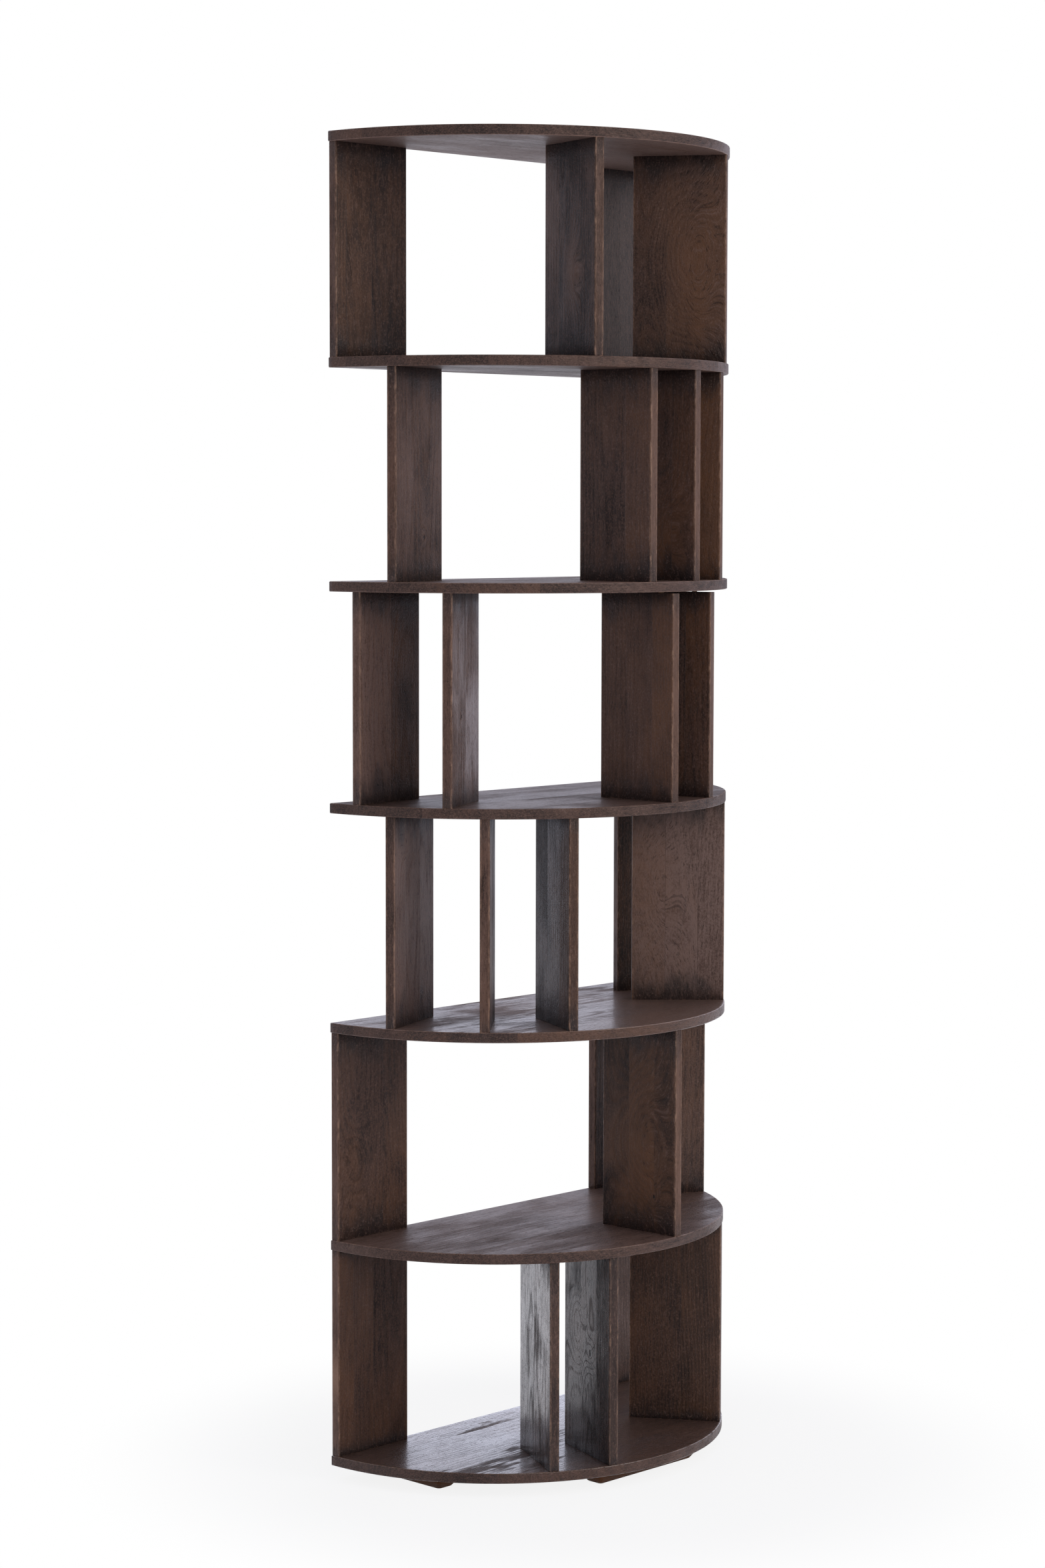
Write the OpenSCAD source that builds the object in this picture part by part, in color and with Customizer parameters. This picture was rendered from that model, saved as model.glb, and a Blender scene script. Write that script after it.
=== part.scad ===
// Free-standing half-round bookcase: seven half-disc shelves held apart by
// upright boards that stand on the radii of the half circle, on three low feet.
// Origin at the floor, in the middle of the outline. +Z is up and -Y is the round front.

/* [Shelves] */
// Radius of the half-round shelves
shelf_r = 350; // [300:1:450]
// Thickness of a shelf board
board_t = 15; // [13:0.5:30]
// Clear height of a bay, from one shelf's top to the next shelf's underside
bay_h = 309; // [200:1:400]

/* [Uprights] */
// Width of an upright, from its outer edge in towards the arc's centre
upright_w = 142; // [100:1:180]
// Thickness of an upright
upright_t = 15; // [13:0.5:30]
// How far an upright's outer edge stays behind the shelf's edge
edge_inset = 1; // [0.5:0.1:5]
// Gap over the front uprights of the stack joint, where the upper half lifts off
stack_gap = 2.5; // [0:0.1:6]

/* [Places of the uprights] */
// Tier 1, the top one: angles round the arc, 0 at the left end of the back and 90 in front
tier_1_angles = [0, 69, 124, 180]; // [0:0.5:180]
// Tier 1: how far each upright is turned off its radius
tier_1_turns = [0, 5, -1.5, 0]; // [-6:0.5:6]
// Tier 2: angles round the arc
tier_2_angles = [18.5, 85, 102, 118.5]; // [5:0.5:175]
// Tier 2: how far each upright is turned off its radius
tier_2_turns = [-1, 4.5, -3.5, -4]; // [-6:0.5:6]
// Tier 3, below the stack joint: angles round the arc
tier_3_angles = [8.5, 32.5, 93, 111]; // [5:0.5:175]
// Tier 3: how far each upright is turned off its radius
tier_3_turns = [0, -3.5, -2.5, -5]; // [-6:0.5:6]
// Tier 4: angles round the arc
tier_4_angles = [18, 41.5, 63, 134.5, 161]; // [5:0.5:175]
// Tier 4: how far each upright is turned off its radius
tier_4_turns = [4, 0, 1, 0, 0]; // [-6:0.5:6]
// Tier 5: angles round the arc
tier_5_angles = [0, 95, 155.5, 180]; // [0:0.5:180]
// Tier 5: how far each upright is turned off its radius
tier_5_turns = [0, -3, 0, 0]; // [-6:0.5:6]
// Tier 6, the bottom one: angles round the arc
tier_6_angles = [0, 58.5, 74, 126, 180]; // [0:0.5:180]
// Tier 6: how far each upright is turned off its radius
tier_6_turns = [0, 3.5, -3, -3, 0]; // [-6:0.5:6]

/* [Dowels] */
// Diameter of a dowel
dowel_d = 8; // [5:0.5:10]
// Clearance all round a dowel in its bore
dowel_clear = 0.1; // [0.05:0.01:0.3]
// Clearance past each end of a dowel or a screw
end_clear = 0.5; // [0.2:0.1:2]
// Depth of a dowel bore in a shelf, under half the board so that two never meet
shelf_bore = 6; // [4:0.5:6.5]
// Depth of a dowel bore in an upright's end
upright_bore = 22; // [10:1:40]
// Distance from an upright's long edge to its dowel's axis
dowel_edge = 30; // [15:1:45]

/* [Feet] */
// Height of a foot
foot_h = 21; // [15:1:60]
// Width of a foot's bottom face
foot_w = 28; // [20:1:60]
// How far a foot flares out on each side, from its bottom face to its top
foot_flare = 14; // [0:1:20]
// Length of the front foot's bottom face
front_foot_l = 200; // [120:1:220]
// Distance from the shelf's front edge back to the front foot's bottom face
front_foot_inset = 46; // [30:1:80]
// How far the front foot stands to the right of the middle
front_foot_shift = 10; // [-20:1:20]
// Length of a side foot's bottom face
side_foot_l = 130; // [80:1:180]
// Distance from a side end of the shelf in to the side foot's bottom face
side_foot_inset = 74; // [50:1:120]
// Distance from the back edge to the side foot's bottom face
side_foot_back = 22; // [15:1:60]

/* [Foot screws] */
// Diameter of a screw's shank
screw_d = 4; // [3:0.5:5]
// Diameter of a screw's head
screw_head_d = 8; // [6:0.5:10]
// Height of a screw's head
screw_head_h = 3; // [2:0.5:5]
// Depth of the hole that sinks a screw's head into the foot
screw_sink = 6; // [4:0.5:10]
// Clearance all round a screw in its hole
screw_clear = 0.2; // [0.1:0.1:1]
// How far a screw reaches into the base shelf
screw_grip = 7; // [4:0.5:8]
// Distance from the end of a foot's bottom face to its screw
screw_end = 25; // [15:1:40]

/* [Hidden] */
$fn = 96;
shelf_count = 7;
stack_tier = 3;
flush_left = 0;
flush_right = 180;
front_from = 45;
cut = 1;
back_y = shelf_r / 2;
pitch = board_t + bay_h;
letters = "abcde";
angles = [tier_1_angles, tier_2_angles, tier_3_angles, tier_4_angles, tier_5_angles, tier_6_angles];
turns = [tier_1_turns, tier_2_turns, tier_3_turns, tier_4_turns, tier_5_turns, tier_6_turns];
tiers = [1 : shelf_count - 1];
shelves = [1 : shelf_count];
dowel_places = [dowel_edge, upright_w - dowel_edge];
screw_bore_d = screw_d + 2 * screw_clear;

function places(tier) = [0 : len(angles[tier - 1]) - 1];
function angle_of(tier, i) = angles[tier - 1][i];
function turn_of(tier, i) = turns[tier - 1][i];
function shelf_z(shelf) = foot_h + (shelf_count - shelf) * pitch;
function floor_of(tier) = shelf_z(tier + 1) + board_t;
function in_front(angle) = angle > front_from && angle < flush_right - front_from;
function gap_over(tier, i) = tier == stack_tier && in_front(angle_of(tier, i)) ? stack_gap : 0;
function upright_h(tier, i) = bay_h - gap_over(tier, i);
function shelf_name(shelf) = str("shelf_", shelf);
function dowels_name(shelf) = str("dowels_", shelf);
function upright_name(tier, i) = str("upright_", tier, letters[i]);
function flush_shift(angle) =
    angle == flush_left ? upright_t / 2 : angle == flush_right ? -upright_t / 2 : 0;

// Puts its children at an upright's outer edge, with -X in towards the arc's centre
module at_upright(tier, i) {
    angle = angle_of(tier, i);
    translate([0, back_y, 0])
        rotate(180 + angle)
            translate([shelf_r - edge_inset, flush_shift(angle), 0])
                rotate(turn_of(tier, i))
                    children();
}

// Round bars at an upright's dowel places, from one height to another
module dowel_bars(tier, i, d, from_z, to_z) {
    at_upright(tier, i)
        for (place = dowel_places)
            translate([-place, 0, from_z])
                cylinder(d = d, h = to_z - from_z);
}

// Half disc with its straight edge at the back
module half_disc(r, h) {
    translate([0, back_y, 0])
        linear_extrude(h)
            intersection() {
                circle(r);
                translate([-r, -r])
                    square([2 * r, r]);
            }
}

// One shelf, with bores for the uprights that stand on it and under it
module shelf(number) {
    bore_d = dowel_d + 2 * dowel_clear;
    low_z = shelf_z(number);
    high_z = low_z + board_t;
    color("#4a382f")
        difference() {
            translate([0, 0, low_z])
                half_disc(shelf_r, board_t);
            if (number > 1)
                for (i = places(number - 1))
                    dowel_bars(number - 1, i, bore_d, high_z - shelf_bore, high_z + cut);
            if (number < shelf_count)
                for (i = places(number))
                    dowel_bars(number, i, bore_d, low_z - cut, low_z + shelf_bore);
            if (number == shelf_count)
                all_screws(screw_bore_d, low_z - cut, low_z + screw_grip);
        }
}

// One upright board, with two dowel bores in each end
module upright(tier, i) {
    bore_d = dowel_d + 2 * dowel_clear;
    low_z = floor_of(tier);
    high_z = low_z + upright_h(tier, i);
    color("#42322b")
        difference() {
            at_upright(tier, i)
                translate([-upright_w, -upright_t / 2, low_z])
                    cube([upright_w, upright_t, upright_h(tier, i)]);
            dowel_bars(tier, i, bore_d, low_z - cut, low_z + upright_bore);
            dowel_bars(tier, i, bore_d, high_z - upright_bore, high_z + cut);
        }
}

// The dowels that are seated in one shelf, above it and below it
module dowels(number) {
    low_z = shelf_z(number);
    high_z = low_z + board_t;
    color("#b58f63") {
        if (number > 1)
            for (i = places(number - 1))
                dowel_bars(number - 1, i, dowel_d,
                    high_z - shelf_bore + end_clear,
                    high_z + upright_bore - end_clear);
        if (number < shelf_count)
            for (i = places(number))
                dowel_bars(number, i, dowel_d,
                    low_z - gap_over(number, i) - upright_bore + end_clear,
                    low_z + shelf_bore - end_clear);
    }
}

// A bar that flares upwards on all four sides, its bottom face centred on the origin
module flared_bar(w, l) {
    intersection() {
        flared_prism(w, l + 2 * foot_flare);
        rotate(90)
            flared_prism(l, w + 2 * foot_flare);
    }
}

// A prism along X whose section flares upwards
module flared_prism(w, l) {
    rotate([90, 0, 90])
        translate([0, 0, -l / 2])
            linear_extrude(l)
                polygon([[-w / 2, 0], [w / 2, 0], [w / 2 + foot_flare, foot_h], [-w / 2 - foot_flare, foot_h]]);
}

// Puts its children at the front foot's middle, with X along the foot
module at_front_foot() {
    translate([front_foot_shift, back_y - shelf_r + front_foot_inset + foot_w / 2, 0])
        children();
}

// Puts its children at a side foot's middle, with X along the foot: side is -1 or 1
module at_side_foot(side) {
    translate([side * (shelf_r - side_foot_inset - foot_w / 2), back_y - side_foot_back - side_foot_l / 2, 0])
        rotate(90)
            children();
}

// Round bars at the two screws of a foot
module foot_bars(l, d, from_z, to_z) {
    for (side = [-1, 1])
        translate([side * (l / 2 - screw_end), 0, from_z])
            cylinder(d = d, h = to_z - from_z);
}

// The same bars at every foot
module all_screws(d, from_z, to_z) {
    at_front_foot()
        foot_bars(front_foot_l, d, from_z, to_z);
    for (side = [-1, 1])
        at_side_foot(side)
            foot_bars(side_foot_l, d, from_z, to_z);
}

// One foot, with a bore and a sunk hole for each screw
module foot(l) {
    color("#6d5136")
        difference() {
            flared_bar(foot_w, l);
            foot_bars(l, screw_bore_d, -cut, foot_h + cut);
            foot_bars(l, screw_head_d + 2 * screw_clear, -cut, screw_sink);
        }
}

module foot_left() {
    at_side_foot(-1)
        foot(side_foot_l);
}

module foot_front() {
    at_front_foot()
        foot(front_foot_l);
}

module foot_right() {
    at_side_foot(1)
        foot(side_foot_l);
}

// Two screws through each foot into the base shelf
module foot_screws() {
    color("silver") {
        all_screws(screw_head_d, screw_sink - screw_head_h, screw_sink);
        all_screws(screw_d, screw_sink, foot_h + screw_grip - end_clear);
    }
}

for (number = shelves)
    shelf(number);
for (tier = tiers)
    for (i = places(tier))
        upright(tier, i);
for (number = shelves)
    dowels(number);
foot_left();
foot_front();
foot_right();
foot_screws();
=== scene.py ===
import math

import bpy
import numpy as np
from mathutils import Matrix, Vector


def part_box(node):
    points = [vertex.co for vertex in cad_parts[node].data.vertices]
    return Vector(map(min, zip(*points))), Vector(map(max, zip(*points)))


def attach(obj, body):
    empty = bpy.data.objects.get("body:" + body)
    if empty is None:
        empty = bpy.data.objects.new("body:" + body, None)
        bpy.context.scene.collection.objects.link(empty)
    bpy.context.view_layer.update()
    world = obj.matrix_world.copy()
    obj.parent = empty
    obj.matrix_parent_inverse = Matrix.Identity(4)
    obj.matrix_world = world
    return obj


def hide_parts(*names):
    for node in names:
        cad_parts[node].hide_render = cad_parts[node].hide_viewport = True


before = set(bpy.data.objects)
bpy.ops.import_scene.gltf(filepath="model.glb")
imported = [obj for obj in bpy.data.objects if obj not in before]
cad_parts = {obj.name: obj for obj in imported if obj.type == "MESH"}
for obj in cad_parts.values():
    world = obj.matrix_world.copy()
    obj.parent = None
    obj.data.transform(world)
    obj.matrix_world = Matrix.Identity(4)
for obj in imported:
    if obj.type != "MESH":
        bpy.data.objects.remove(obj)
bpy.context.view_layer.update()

# Camera
# The photograph's view: about 5.2 m away, in front and to the left, at the height of the middle
# shelves and tilted a little down. The focal length is stated in pixels of the photograph, and
# the sensor's width lies along the picture's height, its longer side.
PHOTO_HEIGHT_PX = 2352
FOCAL_PX = 5235
SENSOR_MM = 36
CAMERA_REACH = 50
CAMERA_PLACE = (-3.810, -3.563, 1.443)
CAMERA_YAW = 45.96
CAMERA_TILT = 4.57
CAMERA_ROLL = 0.1

camera_data = bpy.data.cameras.new("camera")
camera_data.sensor_width = SENSOR_MM
camera_data.lens = FOCAL_PX / PHOTO_HEIGHT_PX * SENSOR_MM
camera_data.clip_end = CAMERA_REACH
camera = bpy.data.objects.new("camera", camera_data)
camera.location = CAMERA_PLACE
yawed = Matrix.Rotation(math.radians(-CAMERA_YAW), 3, "Z")
tilted = Matrix.Rotation(math.radians(90 - CAMERA_TILT), 3, "X")
rolled = Matrix.Rotation(math.radians(CAMERA_ROLL), 3, "Z")
camera.rotation_euler = (yawed @ tilted @ rolled).to_euler()
bpy.context.collection.objects.link(camera)
bpy.context.scene.camera = camera

# Floor, backdrop and light
# A pale floor in a white surround. The lamps are large and soft, as in a photographer's studio:
# two in front, and a low one behind that skims the top of the base shelf.
WHITE = (1, 1, 1, 1)
FLOOR_SIZE = 12.0
FLOOR_WHITE = (0.92, 0.92, 0.93, 1)
FLOOR_MIRROR = (0.93, 0.93, 1.0, 1)
# How white the floor glows near the object, and between which distances it turns all white
SHADOW_NEAR = 0.86
SHADOW_REACH = (0.4, 0.8)
# The card on the floor that only gloss finds: its middle, how fast it fades, and its glow
CARD_PLACE = (0.05, 1.0, 0)
CARD_TIGHTNESS = (4.0, 2.0, 1.0)
CARD_GLOW = 0.5
# The surround as a light that fills the shade
SURROUND_FILL = 0.55
SURROUND_COOL = (0.86, 0.86, 1.0, 1)
# The surround in gloss: the dim room's strength, and how far ahead a ray points as it turns white
MIRROR_DIM = 0.3
MIRROR_TURN = (-0.4, 0.5)
MIRROR_COOL = (0.84, 0.85, 1.0, 1)
MIRROR_WARM = (1.0, 0.94, 0.88, 1)
# Name, power in watts, width and height in metres, place, target and tint of each lamp
LAMPS = (
    ("key", 60, 2.4, 2.4, (1.4, -4.6, 2.9), (0, 0, 1.0), (1.0, 0.95, 0.9)),
    ("front", 25, 2.4, 2.4, (-2.6, -4.6, 2.6), (0, 0, 1.0), (1.0, 0.97, 0.94)),
    ("skim", 1.7, 1.8, 0.22, (0.93, 0.9, 0.265), (0, 0, 0.1), (0.76, 0.82, 1.0)),
)


class Value:
    """A number that varies over a surface; each operator on it adds one Math node."""

    def __init__(self, finish, socket):
        self.finish = finish
        self.socket = socket

    def math(self, operation, *others, clamp=False):
        """This number and the others in one Math operation, held between 0 and 1 if clamp is set."""
        return self.finish.add("Math", {"operation": operation, "use_clamp": clamp}, [self, *others])

    def __add__(self, other):
        return self.math("ADD", other)

    def __radd__(self, other):
        return self.math("ADD", other)

    def __sub__(self, other):
        return self.math("SUBTRACT", other)

    def __rsub__(self, other):
        return self.finish.add("Math", {"operation": "SUBTRACT"}, [other, self])

    def __mul__(self, other):
        return self.math("MULTIPLY", other)

    def __rmul__(self, other):
        return self.math("MULTIPLY", other)

    def __truediv__(self, other):
        return self.math("DIVIDE", other)

    def __pow__(self, other):
        return self.math("POWER", other)

    def __gt__(self, other):
        return self.math("GREATER_THAN", other)

    def clamped(self):
        """The number itself, held between 0 and 1."""
        return self.math("ADD", 0, clamp=True)

    def fraction(self):
        """What is left of the number once its whole part is taken off."""
        return self.math("FRACT")

    def ramp(self, low, high):
        """0 below low, 1 above high, and a smooth rise between them."""
        settings = {"interpolation_type": "SMOOTHSTEP"}
        return self.finish.add("MapRange", settings, [self, low, high, 0, 1])


class Finish:
    """The nodes of a material or of the world, under construction."""

    def __init__(self, owner):
        owner.use_nodes = True
        self.owner = owner
        self.tree = owner.node_tree
        self.tree.nodes.clear()

    def node(self, kind, settings, inputs):
        """A node of a type: its settings are made first, then its sockets, by order or by name."""
        node = self.tree.nodes.new("ShaderNode" + kind)
        for key, value in settings.items():
            setattr(node, key, value)
        pairs = inputs.items() if isinstance(inputs, dict) else enumerate(inputs)
        for key, value in pairs:
            if isinstance(value, Value):
                self.tree.links.new(value.socket, node.inputs[key])
            elif value is not None:
                node.inputs[key].default_value = value
        return node

    def add(self, kind, settings, inputs, out=0):
        """A node, as the value that one of its outputs gives."""
        return Value(self, self.node(kind, settings, inputs).outputs[out])

    def place(self):
        """Where the point is, in metres."""
        return self.add("TexCoord", {}, [], "Object")

    def attribute(self, name):
        """A named vector that the mesh carries."""
        return self.add("Attribute", {"attribute_name": name}, [], "Vector")

    def ray(self, kind):
        """1 for rays of this kind and 0 for all others."""
        return self.add("LightPath", {}, [], f"Is {kind} Ray")

    def vector(self, operation, *values, out=0):
        """Vectors in one Vector Math operation."""
        return self.add("VectorMath", {"operation": operation}, list(values), out)

    def parts(self, vector):
        """The three numbers of a vector."""
        return [Value(self, socket) for socket in self.node("SeparateXYZ", {}, [vector]).outputs]

    def joined(self, x, y, z):
        """Three numbers as a vector."""
        return self.add("CombineXYZ", {}, [x, y, z])

    def noise(self, vector, scales, detail=2.0, roughness=0.5, distortion=0.0):
        """Noise about zero, with its own scale along each axis."""
        stretched = self.vector("MULTIPLY", vector, scales)
        inputs = {"Vector": stretched, "Scale": 1.0, "Detail": detail, "Roughness": roughness}
        return self.add("TexNoise", {}, inputs | {"Distortion": distortion}) - 0.5

    def mix(self, factor, first, second):
        """The first colour at factor 0, the second at 1."""
        return self.add("Mix", {"data_type": "RGBA"}, {0: factor, 6: first, 7: second}, 2)

    def blend(self, factor, first, second):
        """The first number at factor 0, the second at 1."""
        return self.add("Mix", {"data_type": "FLOAT"}, {0: factor, 2: first, 3: second})

    def bump(self, height, strength, distance):
        """The surface's direction as if it rose by height times distance, in metres."""
        inputs = {"Strength": strength, "Distance": distance, "Height": height}
        return self.add("Bump", {}, inputs, "Normal")

    def surface(self, **inputs):
        """Ends the material in one Principled shader."""
        named = {key.replace("_", " "): value for key, value in inputs.items()}
        return self.output(self.add("BsdfPrincipled", {}, named))

    def output(self, shader, kind="OutputMaterial"):
        """Ends the material or the world in a shader."""
        self.node(kind, {}, {"Surface": shader})
        return self.owner


def colour(red, green, blue):
    """A linear colour from the 0 to 255 values that a screen shows, by the screen's own curve."""
    screen = np.array([red, green, blue]) / 255
    linear = np.where(screen > 0.04, ((screen + 0.055) / 1.055) ** 2.4, screen / 12.92)
    return (*linear.tolist(), 1.0)


def floor_finish():
    """White to the eye and in gloss, fading near the object to a plain floor that holds shadow.

    Gloss also finds a sheet of white card that lies behind the object, a soft bell of light: e to
    the power of minus the squared distance from its middle, each axis with its own tightness.
    """
    finish = Finish(bpy.data.materials.new("floor_white"))
    gloss = finish.ray("Glossy")
    seen = (finish.ray("Camera") + finish.ray("Transmission") + gloss).clamped()
    place = finish.place()
    reach = finish.vector("LENGTH", place, out="Value")
    away = finish.vector("MULTIPLY", finish.vector("SUBTRACT", place, CARD_PLACE), CARD_TIGHTNESS)
    card = (finish.vector("DOT_PRODUCT", away, away, out="Value") * -1).math("EXPONENT")
    white = seen * (SHADOW_NEAR + (1 - SHADOW_NEAR) * reach.ramp(*SHADOW_REACH))
    tint = finish.mix(gloss, WHITE, FLOOR_MIRROR)
    bright = finish.vector("SCALE", tint, None, None, 1 + gloss * card * CARD_GLOW)
    plain = finish.add("BsdfDiffuse", {}, {"Color": FLOOR_WHITE})
    glow = finish.add("Emission", {}, {"Color": bright})
    return finish.output(finish.add("MixShader", {}, [white, plain, glow]))


def surround():
    """White to the camera; to gloss it is cool white ahead and a warm dim room behind the camera.

    Gloss reads how far its ray points ahead, along the line from the camera to the object.
    """
    world = bpy.data.worlds.new("surround")
    bpy.context.scene.world = world
    finish = Finish(world)
    seen = (finish.ray("Camera") + finish.ray("Transmission")).clamped()
    gloss = finish.ray("Glossy")
    yaw = math.radians(CAMERA_YAW)
    ahead = finish.vector("DOT_PRODUCT", finish.place(), (math.sin(yaw), math.cos(yaw), 0), out="Value")
    far = ahead.ramp(*MIRROR_TURN)
    fill = finish.blend(gloss, SURROUND_FILL, MIRROR_DIM + (1 - MIRROR_DIM) * far)
    tint = finish.mix(gloss, SURROUND_COOL, finish.mix(far, MIRROR_WARM, MIRROR_COOL))
    settings = {"Color": finish.mix(seen, tint, WHITE), "Strength": finish.blend(seen, fill, 1.0)}
    finish.output(finish.add("Background", {}, settings), "OutputWorld")


def lamp(name, power, wide, tall, place, target, tint):
    """A soft rectangle of light at place, turned to target."""
    data = bpy.data.lights.new(name, "AREA")
    data.energy = power
    data.shape = "RECTANGLE"
    data.size = wide
    data.size_y = tall
    data.color = tint
    item = bpy.data.objects.new(name, data)
    item.location = place
    item.visible_camera = False
    item.rotation_euler = (Vector(target) - Vector(place)).to_track_quat("-Z", "Y").to_euler()
    bpy.context.collection.objects.link(item)


half = FLOOR_SIZE / 2
floor_mesh = bpy.data.meshes.new("floor")
floor_corners = [(-half, -half, 0), (half, -half, 0), (half, half, 0), (-half, half, 0)]
floor_mesh.from_pydata(floor_corners, [], [(0, 1, 2, 3)])
floor_mesh.materials.append(floor_finish())
floor = bpy.data.objects.new("floor", floor_mesh)
bpy.context.collection.objects.link(floor)
surround()
for settings in LAMPS:
    lamp(*settings)

# Feet
# Three low blocks of the same wood, stained a lighter brown, whose faces flare up to the base
# shelf. Their upright corners are rounded, and each is held by screws from below.
FOOT_BROWN = colour(120, 76, 42)
FOOT_DARK = colour(58, 36, 20)
FOOT_STREAKS = (22.0, 22.0, 160.0)
FOOT_CLOUDS = (24.0, 24.0, 24.0)
FOOT_RELIEF = 0.0004
FOOT_GLOSS = 0.08
FOOT_ARRIS = 0.0015
FOOT_CORNER = 0.005
FOOT_CORNER_STEPS = 9
# Points within this height of the lowest one belong to the foot's bottom face
LEVEL = 1e-5


def foot_finish():
    """Streaks along the block over soft clouds, both from noise."""
    finish = Finish(bpy.data.materials.new("foot_stain"))
    place = finish.place()
    streaks = finish.noise(place, FOOT_STREAKS, 3.0, 0.6)
    clouds = finish.noise(place, FOOT_CLOUDS)
    base = finish.mix((0.4 + streaks * 0.9 + clouds * 0.8).clamped(), FOOT_DARK, FOOT_BROWN)
    relief = finish.bump(streaks, 0.3, FOOT_RELIEF)
    return finish.surface(
        Base_Color=base, Roughness=0.6 + clouds * 0.2, Normal=relief, Specular_IOR_Level=FOOT_GLOSS)


def ring_faces(count, rings):
    """Quads between neighbouring closed rings of points, then the two end faces."""
    i = np.arange(count)
    j = (i + 1) % count
    start = np.arange(rings - 1)[:, None] * count
    quads = np.stack([start + i, start + j, start + count + j, start + count + i], 2).reshape(-1, 4)
    return quads.tolist() + [i[::-1].tolist(), ((rings - 1) * count + i).tolist()]


def wood_piece(name, node, points, faces, marks, material):
    """A finished piece that stands for a CAD node: marks are named vectors that its finish reads."""
    mesh = bpy.data.meshes.new(name)
    mesh.from_pydata(points.tolist(), [], faces)
    for mark, values in marks.items():
        data = mesh.attributes.new(mark, "FLOAT_VECTOR", "POINT")
        data.data.foreach_set("vector", np.asarray(values, np.float32).ravel())
    mesh.polygons.foreach_set("use_smooth", np.ones(len(mesh.polygons), bool))
    mesh.materials.append(material)
    piece = bpy.data.objects.new(name, mesh)
    bpy.context.collection.objects.link(piece)
    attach(piece, "root")
    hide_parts(node)


def node_points(node):
    """The corners of a CAD node as rows of an array."""
    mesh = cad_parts[node].data
    flat = np.zeros(len(mesh.vertices) * 3)
    mesh.vertices.foreach_get("co", flat)
    return flat.reshape(-1, 3)


def foot(node, material):
    """Rectangles with quarter-circle corners, widening in a straight line up to the shelf.

    A ring's half sizes are the bottom face's, plus its share of the flare by its height, less the
    ease of the arris for the two lowest rings.
    """
    corners = node_points(node)
    low, high = corners.min(0), corners.max(0)
    base = corners[corners[:, 2] < low[2] + LEVEL]
    top_half = (high - low)[:2] / 2
    base_half = (base.max(0) - base.min(0))[:2] / 2
    tall = high[2] - low[2]
    rise = np.array([0, 0.3 * FOOT_ARRIS, FOOT_ARRIS, tall / 2, tall])
    ease = np.array([FOOT_ARRIS, 0.4 * FOOT_ARRIS, 0, 0, 0])
    reach = base_half + (top_half - base_half) * rise[:, None] / tall - ease[:, None]
    sign = np.array([(1, 1), (-1, 1), (-1, -1), (1, -1)])
    turn = np.arange(4)[:, None] * np.pi / 2 + np.linspace(0, np.pi / 2, FOOT_CORNER_STEPS)
    arc = np.stack([np.cos(turn), np.sin(turn)], 2) * FOOT_CORNER
    flat = sign[None, :, None, :] * (reach[:, None, None, :] - FOOT_CORNER) + arc[None]
    flat = flat.reshape(len(rise), -1, 2) + (low + high)[:2] / 2
    z = np.broadcast_to((low[2] + rise)[:, None, None], flat.shape[:2] + (1,))
    points = np.concatenate([flat, z], 2).reshape(-1, 3)
    faces = ring_faces(flat.shape[1], len(rise))
    wood_piece(node + "_block", node, points, faces, {}, material)


foot_stain = foot_finish()
for node in ("foot_left", "foot_front", "foot_right"):
    foot(node, foot_stain)

# Shelves
# Half discs of 15 mm board, glued from four staves with the grain along the straight back edge,
# stained dark brown and lacquered to a satin gloss. The arrises are rubbed by hand, and a highlight is
# painted along them.
STAIN_DEEP = colour(38, 28, 25)
STAIN_MID = colour(84, 62, 52)
# Pale stain, also the colour of the painted glints of light on the dark stain
PALE_STAIN_AND_GLINT = colour(124, 100, 90)
STAIN_WARM = colour(116, 79, 52)
STAIN_GREY = colour(84, 76, 74)
STAIN_BLACK = colour(34, 30, 31)
EDGE_BROWN = colour(112, 84, 70)
# Pale colour of rubbed arrises, which also stands in for a painted highlight along them
RUBBED_AND_HIGHLIGHT = colour(168, 134, 110)
PORE = colour(20, 15, 13)
# Noises of the wood, in waves per metre across, through and along the grain
SWAY = (9, 9, 2.2)
WANDER = (9, 9, 2.4)
CLOUDS = (13, 13, 7)
PATCHES = (34, 34, 15)
FIBRES = (640, 640, 42)
STREAKS = (150, 150, 7)
FLECKS = (720, 720, 110)
GRIT = (460, 460, 340)
CHIPS = (240, 240, 60)
# The tree's heart: how far it strays across the board, its least and added depth, and its lean
HEART_STRAY = 0.09
HEART_DEPTH = 0.018
HEART_DEEPER = 0.03
HEART_LEAN = 0.16
# Rings per metre: the least, and how many more there may be
RINGS = 130
MORE_RINGS = 60
# Half the width of the hair line between two staves, and the height of the glue line at a foot
SEAM_HALF = 1 / 2200
GLUE_TALL = 1 / 650
# Added to the size of a bell, so that it is never none
TINY = 0.0001
WOOD_GLOSS = 0.3
LACQUER_ROUGH = 0.2
LACQUER_INDEX = 1.8
RELIEF = 0.0006
BOARD_ROUND = 0.0013
ROUND_STEPS = 4
ARC_POINTS = 160
# A shelf's grain starts this far along, so that the glue line of an upright's foot misses it
GRAIN_START = 0.1
SHELF_RIM = 0.7
SHELF_WARM = -0.1
SHELF_FIGURE = 0.7
RIM_BARE = 0.2
# A cut or a knot this many metres away lies off the board: the board has none
FAR = 9
NO_KNOT = (0, FAR, 0.001)
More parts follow.
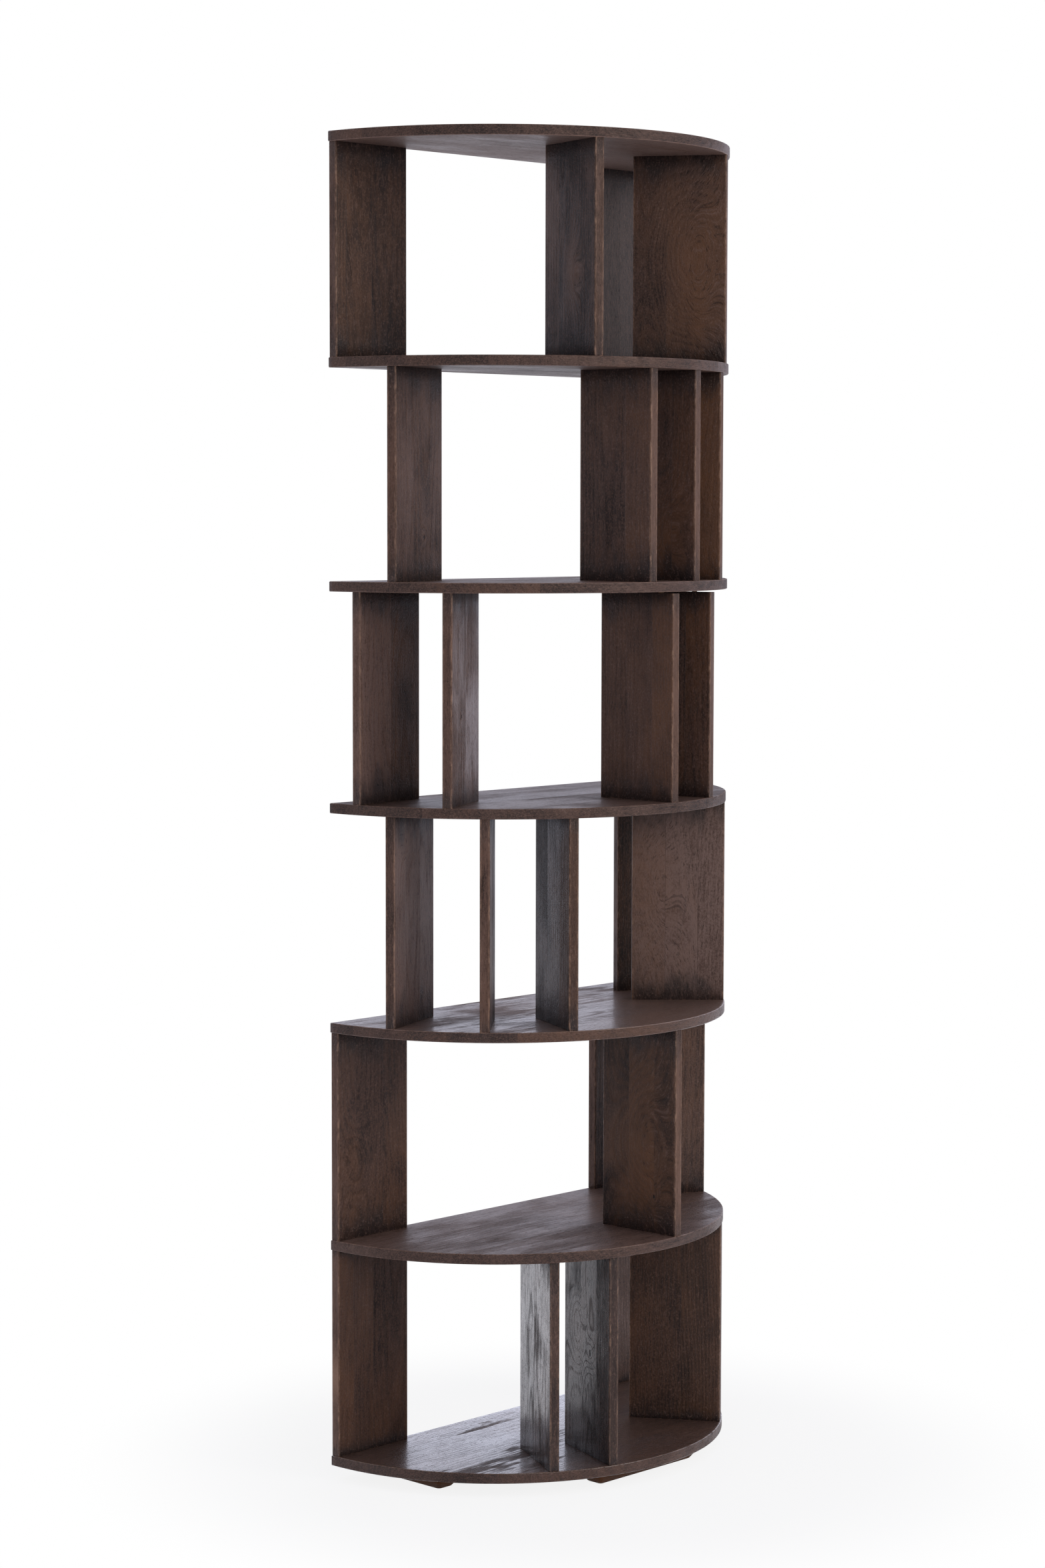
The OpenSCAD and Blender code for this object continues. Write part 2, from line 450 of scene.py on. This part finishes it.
# The seed picks a board's chances, tone is how light it is, cuts are the seams between its staves,
# in metres across the board from its middle, and lacquer is how much gloss it has kept
SHELF_LOOKS = {
    "shelf_1": dict(seed=1.0, tone=1.9, cuts=(-0.10, 0.03, 0.11)),
    "shelf_2": dict(seed=2.3, tone=1.1, cuts=(-0.06, 0.05, 0.14)),
    "shelf_3": dict(seed=3.1, tone=1.8, cuts=(-0.11, 0.00, 0.10)),
    "shelf_4": dict(seed=4.6, tone=1.2, cuts=(-0.08, 0.02, 0.12), lacquer=0.12),
    "shelf_5": dict(seed=5.2, tone=1.75, cuts=(-0.09, 0.04, 0.13), lacquer=0.65),
    "shelf_6": dict(seed=6.4, tone=1.35, cuts=(-0.12, -0.02, 0.09), lacquer=0.15),
    "shelf_7": dict(seed=7.7, tone=0.95, cuts=(-0.07, 0.03, 0.12), lacquer=1.5),
}


def stained_finish():
    """Wood on the board's own grain coordinates: across, through and along the fibres, in metres.

    A ring's place is its distance from the tree's heart, a line that leans to the board, so the
    rings cross the face as nested arches; a swelling of that distance makes ovals round a knot.
    Each stave gets its own chances from the board's seed, by the fractions of three multiples.
    """
    finish = Finish(bpy.data.materials.new("stained_lacquer"))
    grain = finish.attribute("grain")
    across, through, along = finish.parts(grain)
    cut_1, cut_2, cut_3 = finish.parts(finish.attribute("cuts"))
    knot_across, knot_along, knot_size = finish.parts(finish.attribute("knot"))
    swirl_across, swirl_along, swirl_size = finish.parts(finish.attribute("swirl"))
    seed, tone, warm = finish.parts(finish.attribute("board"))
    step, lacquer, figure = finish.parts(finish.attribute("craft"))
    rub_and_highlight, edge, end = finish.parts(finish.attribute("wear_and_highlight"))

    # The stave that the point lies on is 0 to 3, and its chances move the noises
    stave = (across > cut_1) + (across > cut_2) + (across > cut_3)
    chance_1 = (seed * 0.731 + stave * 0.417).fraction()
    chance_2 = (seed * 0.379 + stave * 0.683).fraction()
    chance_3 = (seed * 0.913 + stave * 0.249).fraction()
    place = finish.vector("ADD", grain, finish.joined(chance_1 * 7, chance_2 * 5, chance_3 * 9 + seed))

    def near(middle_across, middle_along, size, stretch):
        """A bell round a point of the board: e to the power of minus its squared distance.

        The distance is measured in the bell's size, stretched along the grain.
        """
        wide = (across - middle_across) / (size + TINY)
        long = (along - middle_along) / (size * stretch + TINY)
        return ((wide * wide + long * long) * -1).math("EXPONENT")

    def seam(cut):
        """A hair line where two staves meet."""
        return (1 - (across - cut).math("ABSOLUTE") / SEAM_HALF).clamped()

    # Slow changes over the board
    sway = finish.noise(place, SWAY, 1, 0.4)
    wander = finish.noise(place, WANDER, 3, 0.55)
    clouds = finish.noise(place, CLOUDS, 4, 0.6, 0.4)
    patches = finish.noise(place, PATCHES, 4, 0.65)
    knot = near(knot_across, knot_along, knot_size, 1.6)
    swirl = near(swirl_across, swirl_along, swirl_size, 2.4)

    # Year rings: a band that gets lighter slowly and ends sharply, and a thin dark line at its end
    off = across - (chance_1 - 0.5) * HEART_STRAY
    depth = HEART_DEPTH + chance_2 * HEART_DEEPER + along * (chance_3 - 0.5) * HEART_LEAN
    swell = swirl * swirl_size * 1.4 + knot * knot_size * 1.2
    distance = (off * off + (depth + through) ** 2) ** 0.5 + sway * 0.03 + clouds * 0.004 + swell
    phase = (distance * (RINGS + chance_3 * MORE_RINGS)).fraction()
    band = phase.ramp(0.0, 0.8) - phase.ramp(0.88, 1.0) - 0.5
    line = (phase.ramp(0.6, 0.86) - phase.ramp(0.9, 1.0)) * patches.ramp(-0.14, 0.06) * figure

    # Fibres bend round knots; open pores, filled pores, grit and chips are the fine marks
    fibre_place = finish.vector("ADD", place, finish.joined(sway * 0.06 + swell, 0.0, 0.0))
    fibre = finish.noise(fibre_place, FIBRES, 2, 0.6)
    streak = finish.noise(fibre_place, STREAKS, 3, 0.6)
    fleck = finish.noise(fibre_place, FLECKS, 1, 0.5)
    pores = fleck.ramp(0.1, 0.2)
    filled = (0.0 - fleck).ramp(0.09, 0.2)
    grit = finish.noise(place, GRIT, 2, 0.7)
    chips = finish.noise(place, CHIPS, 3, 0.7).ramp(-0.04, 0.16)

    # The stain from deep to pale, turned warm or grey, then bare edges and blackened ends
    light = tone + (chance_1 - 0.5) * 0.3 + stave * step + clouds * 1.3 + patches * 0.8
    light = light + band * 0.2 + streak * 0.7 + fibre * 1.3 - line * 0.45 + grit * 2.0
    base = finish.mix(light.ramp(0.0, 1.0), STAIN_DEEP, STAIN_MID)
    base = finish.mix(light.ramp(0.9, 2.0), base, PALE_STAIN_AND_GLINT)
    glow = warm + wander * 1.6 + clouds * 1.3 + band * 0.15 + (chance_2 - 0.5) * 0.3 + swirl * 0.4
    base = finish.mix(glow.clamped() * 0.75, base, STAIN_WARM)
    base = finish.mix((0.0 - warm).clamped(), base, STAIN_GREY)
    bare = (edge * (0.6 + clouds * 1.6 + streak * 1.4 + fibre * 0.8)).clamped()
    base = finish.mix(bare, base, EDGE_BROWN)
    black = (end * 1.1 + patches * 1.6 + clouds * 1.2 + grit * 0.6).ramp(0.38, 1.15)
    base = finish.mix(black * (0.8 - edge * 0.25), base, STAIN_BLACK)

    # Seams and pores, painted glints, the knot's core, then arrises rubbed pale that also carry a
    # painted highlight, and the glue line at the foot
    seams = seam(cut_1) + seam(cut_2) + seam(cut_3)
    base = finish.mix((pores * 0.4 + seams * 0.35).clamped(), base, PORE)
    # Painted glints: pale specks of painted highlight, more of them on the blackened ends
    painted_glint = grit.ramp(0.06, 0.22) * (0.3 + black * 0.3)
    base = finish.mix((filled * 0.3 + painted_glint).clamped(), base, PALE_STAIN_AND_GLINT)
    core = near(knot_across, knot_along, knot_size * 0.3, 1.5)
    core = (core + patches * 0.6).ramp(0.4, 0.75) * (knot_size > 0.004)
    base = finish.mix(core * 0.9, base, PORE)
    glue = (1 - along / GLUE_TALL).clamped() * chips
    # Arrises rubbed pale and partly a painted highlight along the edge, and the glue line at the foot
    worn_and_highlight = (rub_and_highlight * (0.1 + 0.5 * chips) + edge * swirl * 0.7 + glue * 0.5).clamped()
    base = finish.mix(worn_and_highlight, base, RUBBED_AND_HIGHLIGHT)

    # The sheen comes and goes in patches, more so where there is much lacquer
    sheen = clouds * 0.7 + wander * 0.6 + patches * 0.3 + streak * 0.3 + (chance_3 - 0.5) * 0.1
    sheen = ((sheen + lacquer * 0.05) * (1 + lacquer)).ramp(-0.2, 0.16)
    rough = 0.56 - sheen * 0.2 + patches * 0.1 + pores * 0.1 + line * 0.1 + edge * 0.1 + grit * 0.3
    coat = (sheen * lacquer).clamped() * (0.95 + fibre * 2.2 + streak * 1.8 + grit * 1.6).clamped()
    coat = coat * (1 - line * 0.85) * (1 - pores * 0.7) * (1 - core) * (1 - edge * 8).clamped()

    # Fibres and grit stand up; pores, ring lines, seams and the knot's core sink
    height = fibre * 0.8 - pores * 0.7 + grit * (1.1 + black * 1.4) + streak * 0.4
    height = height - core * 2.5 - line * 0.3 - seams * 0.5
    return finish.surface(
        Base_Color=base, Roughness=rough, Normal=finish.bump(height, 0.6, RELIEF),
        Specular_IOR_Level=WOOD_GLOSS, Coat_Weight=coat.clamped(), Coat_Roughness=LACQUER_ROUGH,
        Coat_IOR=LACQUER_INDEX)


def every(points, vector):
    """The same vector on every point."""
    return np.tile(np.asarray(vector, float), (len(points), 1))


def rounded_steps(low, high, r):
    """Inset and height pairs up a rounded edge: a quarter circle, the side, a quarter circle."""
    turn = np.linspace(0, np.pi / 2, ROUND_STEPS)
    inset = r * (1 - np.sin(turn))
    rise = r * (1 - np.cos(turn))
    insets = np.concatenate([[3 * r], inset, [0, 0], inset[::-1], [3 * r]])
    side = [low + 2.2 * r, high - 2.2 * r]
    heights = np.concatenate([[low], low + rise, side, high - rise[::-1], [high]])
    return insets, heights


def half_discs(low, high, insets, heights):
    """Closed outlines at several heights: half an ellipse from left to right, then the straight back.

    A point of the arc is the half width times minus the cosine of its angle, and the depth
    times its sine in front of the back edge, both less the inset of its ring.
    """
    angle = np.linspace(0, np.pi, ARC_POINTS)
    inset = insets[:, None]
    x = -((high.x - low.x) / 2 - inset) * np.cos(angle)
    front = high.y - inset - (high.y - low.y - 2 * inset) * np.sin(angle)
    back = np.broadcast_to(high.y - inset, (len(insets), ARC_POINTS - 2))
    x = np.concatenate([x, x[:, ::-1][:, 1:-1]], 1)
    y = np.concatenate([front, back], 1)
    z = np.broadcast_to(heights[:, None], x.shape)
    return np.stack([x, y, z], 2)


def shelf(node, material, seed, tone, cuts, lacquer=0.0):
    """Outlines of the half disc stacked up its rounded edge; the rim has its own tone.

    The rim is where the inset is none, and the rubbed arris, which also carries a painted highlight, is
    where it is part of the rounding.
    """
    low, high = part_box(node)
    insets, heights = rounded_steps(low.z, high.z, BOARD_ROUND)
    rings = half_discs(low, high, insets, heights)
    count = rings.shape[1]
    points = rings.reshape(-1, 3)
    inset = np.repeat(insets, count) / BOARD_ROUND
    side = (inset < 0.001) * 1.0
    rub_and_highlight = ((inset > 0.2) & (inset < 2)) * 1.0
    middle = (low + high) / 2
    from_left = points[:, 0] - low.x + GRAIN_START
    rim_tone = tone + (SHELF_RIM - tone) * side
    marks = {
        "grain": np.column_stack([points[:, 1] - middle.y, points[:, 2] - middle.z, from_left]),
        "cuts": every(points, cuts),
        "knot": every(points, NO_KNOT),
        "swirl": every(points, NO_KNOT),
        "board": np.column_stack([side * 0 + seed, rim_tone, side * 0 + SHELF_WARM]),
        "craft": every(points, (0, lacquer, SHELF_FIGURE)),
        "wear_and_highlight": np.column_stack([rub_and_highlight, side * RIM_BARE, side * 0]),
    }
    faces = ring_faces(count, len(insets))
    wood_piece(node + "_board", node, points, faces, marks, material)


stained = stained_finish()
for node, looks in SHELF_LOOKS.items():
    shelf(node, stained, **looks)

# Uprights
# Short boards of one to four staves that stand on edge on the radii of the half disc, dowelled
# and glued, with upright grain. Each is placed from its own CAD board's widest face and corners.

# How far the dark stain reaches from a board's ends, on most boards and on some low ones
END_STAIN = 0.08
SHORT_STAIN = 0.03
# How far a board's ends are drawn in, over the same height, and how much thinner it is in all
END_SCUFF = 0.00035
THINNER = 0.0003
# A face stands upright where the upward part of its normal is under this
LEANING = 0.1
# A board's looks are a shelf's and these: warm turns the stain to orange, or to grey below 0, step
# is the change of tone from stave to stave, figure is how strongly the rings draw, stain is how
# far the dark ends reach, rim and edges are how light and how bare the narrow faces are, and a
# knot or a swirl in the grain is its place across and along the board and its size, in metres
PLAIN = dict(
    warm=0.2, step=0.0, lacquer=0.0, figure=1.0, stain=END_STAIN, edges=0.8, rim=0.8,
    cuts=(-0.02, 0.03, FAR), knot=NO_KNOT, swirl=NO_KNOT)
UPRIGHT_LOOKS = {
    "upright_1a": dict(seed=11.2, tone=0.5, cuts=(0.0, 0.05, FAR)),
    "upright_1b": dict(
        seed=12.1, tone=0.4, edges=0.65, cuts=(-0.03, FAR, FAR), swirl=(0.011, 0.12, 0.02)),
    "upright_1c": dict(seed=13.9, tone=1.0, cuts=(-0.02, FAR, FAR), swirl=(0.01, 0.15, 0.05)),
    "upright_1d": dict(seed=14.3, tone=0.45, warm=-0.6, figure=0.3),
    "upright_2a": dict(
        seed=22.3, tone=0.65, edges=0.4, rim=0.6, cuts=(0.0175, FAR, FAR), step=0.2,
        knot=(-0.015, 0.064, 0.008)),
    "upright_2b": dict(seed=22.4, tone=0.8, edges=0.7, cuts=(0.02, FAR, FAR)),
    "upright_2c": dict(seed=23.6, tone=1.0, swirl=(0.02, 0.07, 0.03)),
    "upright_2d": dict(seed=24.7, tone=0.95, warm=0.75, swirl=(0.0, 0.15, 0.03)),
    "upright_3a": dict(
        seed=31.5, tone=0.7, edges=0.4, rim=0.6, cuts=(-0.0024, FAR, FAR), step=0.95,
        knot=(0.03, 0.027, 0.005)),
    "upright_3b": dict(
        seed=32.6, tone=1.3, edges=0.65, cuts=(0.0, FAR, FAR), lacquer=0.3, knot=(0.021, 0.13, 0.007)),
    "upright_3c": dict(seed=33.3, tone=1.05, warm=0.25),
    "upright_3d": dict(seed=34.2, tone=0.75, warm=0.3),
    "upright_4a": dict(seed=41.4, tone=1.8, rim=0.5, edges=0.5, warm=0.1, swirl=(0.024, 0.28, 0.02)),
    "upright_4b": dict(seed=42.9, tone=1.0, rim=1.0, edges=1.0),
    "upright_4c": dict(seed=43.5, tone=0.15, edges=0.3, rim=0.4),
    "upright_4d": dict(seed=44.1, tone=1.7, warm=0.0, figure=0.5, swirl=(-0.045, 0.18, 0.04)),
    "upright_4e": dict(seed=45.8, tone=0.4),
    "upright_5a": dict(seed=51.3, tone=0.7, cuts=(-0.02, FAR, FAR), swirl=(0.036, 0.115, 0.022)),
    "upright_5b": dict(
        seed=53.2, tone=0.25, warm=0.35, rim=0.55, edges=1.0, knot=(0.03, 0.055, 0.008),
        swirl=(0.0, 0.13, 0.05)),
    "upright_5c": dict(seed=54.4, tone=0.8, warm=0.0, knot=(0.02, 0.09, 0.006)),
    "upright_5d": dict(seed=52.2, tone=0.85, warm=0.1, stain=SHORT_STAIN),
    "upright_6a": dict(
        seed=61.6, tone=0.85, stain=SHORT_STAIN, cuts=(0.0, 0.04, FAR), swirl=(0.071, 0.12, 0.014)),
    "upright_6b": dict(
        seed=63.36, tone=0.35, warm=-0.1, lacquer=0.85, rim=0.3, edges=0.3, stain=SHORT_STAIN,
        cuts=(-0.004, FAR, FAR), knot=(-0.033, 0.288, 0.005)),
    "upright_6c": dict(
        seed=63.2, tone=0.4, warm=-0.1, lacquer=0.5, rim=0.3, edges=0.3, stain=SHORT_STAIN,
        knot=(0.011, 0.155, 0.016), swirl=(-0.03, 0.185, 0.024)),
    "upright_6d": dict(seed=64.2, tone=0.34, warm=0.4, stain=SHORT_STAIN, cuts=(0.01, FAR, FAR)),
    "upright_6e": dict(seed=65.1, tone=1.2, warm=0.0, stain=SHORT_STAIN),
}


def board_axes(node):
    """The middle of its base, unit vectors outwards and through the board, and its three sizes.

    Through is the normal of the widest upright face, and outwards is at right angles to it, away
    from the middle of the shelves' straight edge.
    """
    standing = [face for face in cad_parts[node].data.polygons if abs(face.normal.z) < LEANING]
    through = np.array(max(standing, key=lambda face: face.area).normal)
    out = np.array([through[1], -through[0], 0.0])
    corners = node_points(node)
    centre = np.array([0.0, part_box("shelf_1")[1].y, 0.0])
    if (corners.mean(0) - centre) @ out < 0:
        out = -out
        through = -through
    across, deep, z = corners @ out, corners @ through, corners[:, 2]
    base = out * (across.max() + across.min()) / 2 + through * (deep.max() + deep.min()) / 2
    base[2] = z.min()
    return base, out, through, (np.ptp(across), np.ptp(deep), np.ptp(z))


def board_outline(width, depth, r):
    """A rectangle with rounded corners: across, through, arris and edge-face values of its points.

    Each corner is a quarter circle of radius r with one more point on each side of it, 1.5 r away.
    """
    turn = np.linspace(0, np.pi / 2, ROUND_STEPS)
    wide = width / 2 + np.concatenate([[0], np.cos(turn) - 1, [-2.5]]) * r
    deep = depth / 2 + np.concatenate([[-2.5], np.sin(turn) - 1, [0]]) * r
    arris = np.concatenate([[0], np.ones(ROUND_STEPS), [0]])
    narrow = np.concatenate([[1, 1], np.zeros(ROUND_STEPS)])
    corner = np.column_stack([wide, deep, arris, narrow])
    inner, rear = np.array([-1, 1, 1, 1]), np.array([1, -1, 1, 1])
    turned = [corner, (corner * inner)[::-1], corner * inner * rear, (corner * rear)[::-1]]
    return np.concatenate(turned)


def upright(node, material, **looks):
    """The rounded outline carried up the board, drawn in by a hair at its two ends.

    A point is the middle of the base plus its length across, its depth and its height, each
    along the board's own axis. The dark stain falls in a straight line from each end.
    """
    looks = PLAIN | looks
    base, out, through, (width, depth, height) = board_axes(node)
    outline = board_outline(width - THINNER, depth - THINNER, BOARD_ROUND)
    from_end = np.array([0, END_SCUFF, 0.25 * looks["stain"], 0.6 * looks["stain"], looks["stain"]])
    heights = np.concatenate([from_end, height - from_end[::-1]])
    to_end = np.minimum(heights, height - heights)
    insets = np.where(to_end < END_SCUFF / 2, END_SCUFF, 0)
    ends = 1 - np.minimum(to_end / looks["stain"], 1)
    rows, count = len(heights), len(outline)
    wide = (outline[:, 0] - np.sign(outline[:, 0]) * insets[:, None]).ravel()
    deep = (outline[:, 1] - np.sign(outline[:, 1]) * insets[:, None]).ravel()
    tall = np.repeat(heights, count)
    up = np.array([0, 0, 1])
    points = base + wide[:, None] * out + deep[:, None] * through + tall[:, None] * up
    arris = np.tile(outline[:, 2], rows)
    narrow = np.tile(outline[:, 3], rows)
    tone = looks["tone"] + (min(looks["tone"], looks["rim"]) - looks["tone"]) * narrow
    marks = {
        "grain": np.column_stack([wide, deep, tall]),
        "cuts": every(points, looks["cuts"]),
        "knot": every(points, looks["knot"]),
        "swirl": every(points, looks["swirl"]),
        "board": np.column_stack([narrow * 0 + looks["seed"], tone, narrow * 0 + looks["warm"]]),
        "craft": every(points, (looks["step"], looks["lacquer"], looks["figure"])),
        "wear_and_highlight": np.column_stack([arris, narrow * looks["edges"], np.repeat(ends, count)]),
    }
    faces = ring_faces(count, rows)
    wood_piece(node + "_board", node, points, faces, marks, material)


for node, looks in UPRIGHT_LOOKS.items():
    upright(node, stained, **looks)

# Dowels and screws
# Pale fluted beech dowels, seen only in the gap over the front uprights of the stack joint, and
# zinc-plated screws sunk in the feet. They stay as their CAD solids with their own finishes.
DOWEL_PALE = colour(196, 160, 120)
DOWEL_DEEP = colour(150, 112, 78)
DOWEL_FLUTES = (600.0, 600.0, 12.0)
DOWEL_SETS = 7
ZINC = (0.62, 0.62, 0.6, 1)
ZINC_CLOUDS = (900.0, 900.0, 900.0)


def dowel_finish():
    """Fine upright flutes from noise that hardly changes with height."""
    finish = Finish(bpy.data.materials.new("beech_dowel"))
    flutes = finish.noise(finish.place(), DOWEL_FLUTES)
    base = finish.mix(flutes + 0.5, DOWEL_DEEP, DOWEL_PALE)
    return finish.surface(Base_Color=base, Roughness=0.65 + flutes * 0.1)


def screw_finish():
    """Bare zinc, clouded in its gloss."""
    finish = Finish(bpy.data.materials.new("zinc_screw"))
    cloud = finish.noise(finish.place(), ZINC_CLOUDS)
    return finish.surface(Base_Color=ZINC, Metallic=1.0, Roughness=0.38 + cloud * 0.15)


def give(node, material):
    """The CAD node's own solid gets this one finish."""
    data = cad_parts[node].data
    data.materials.clear()
    data.materials.append(material)


beech = dowel_finish()
for number in range(1, DOWEL_SETS + 1):
    give(f"dowels_{number}", beech)
give("foot_screws", screw_finish())

bpy.context.scene.view_settings.view_transform = "Standard"
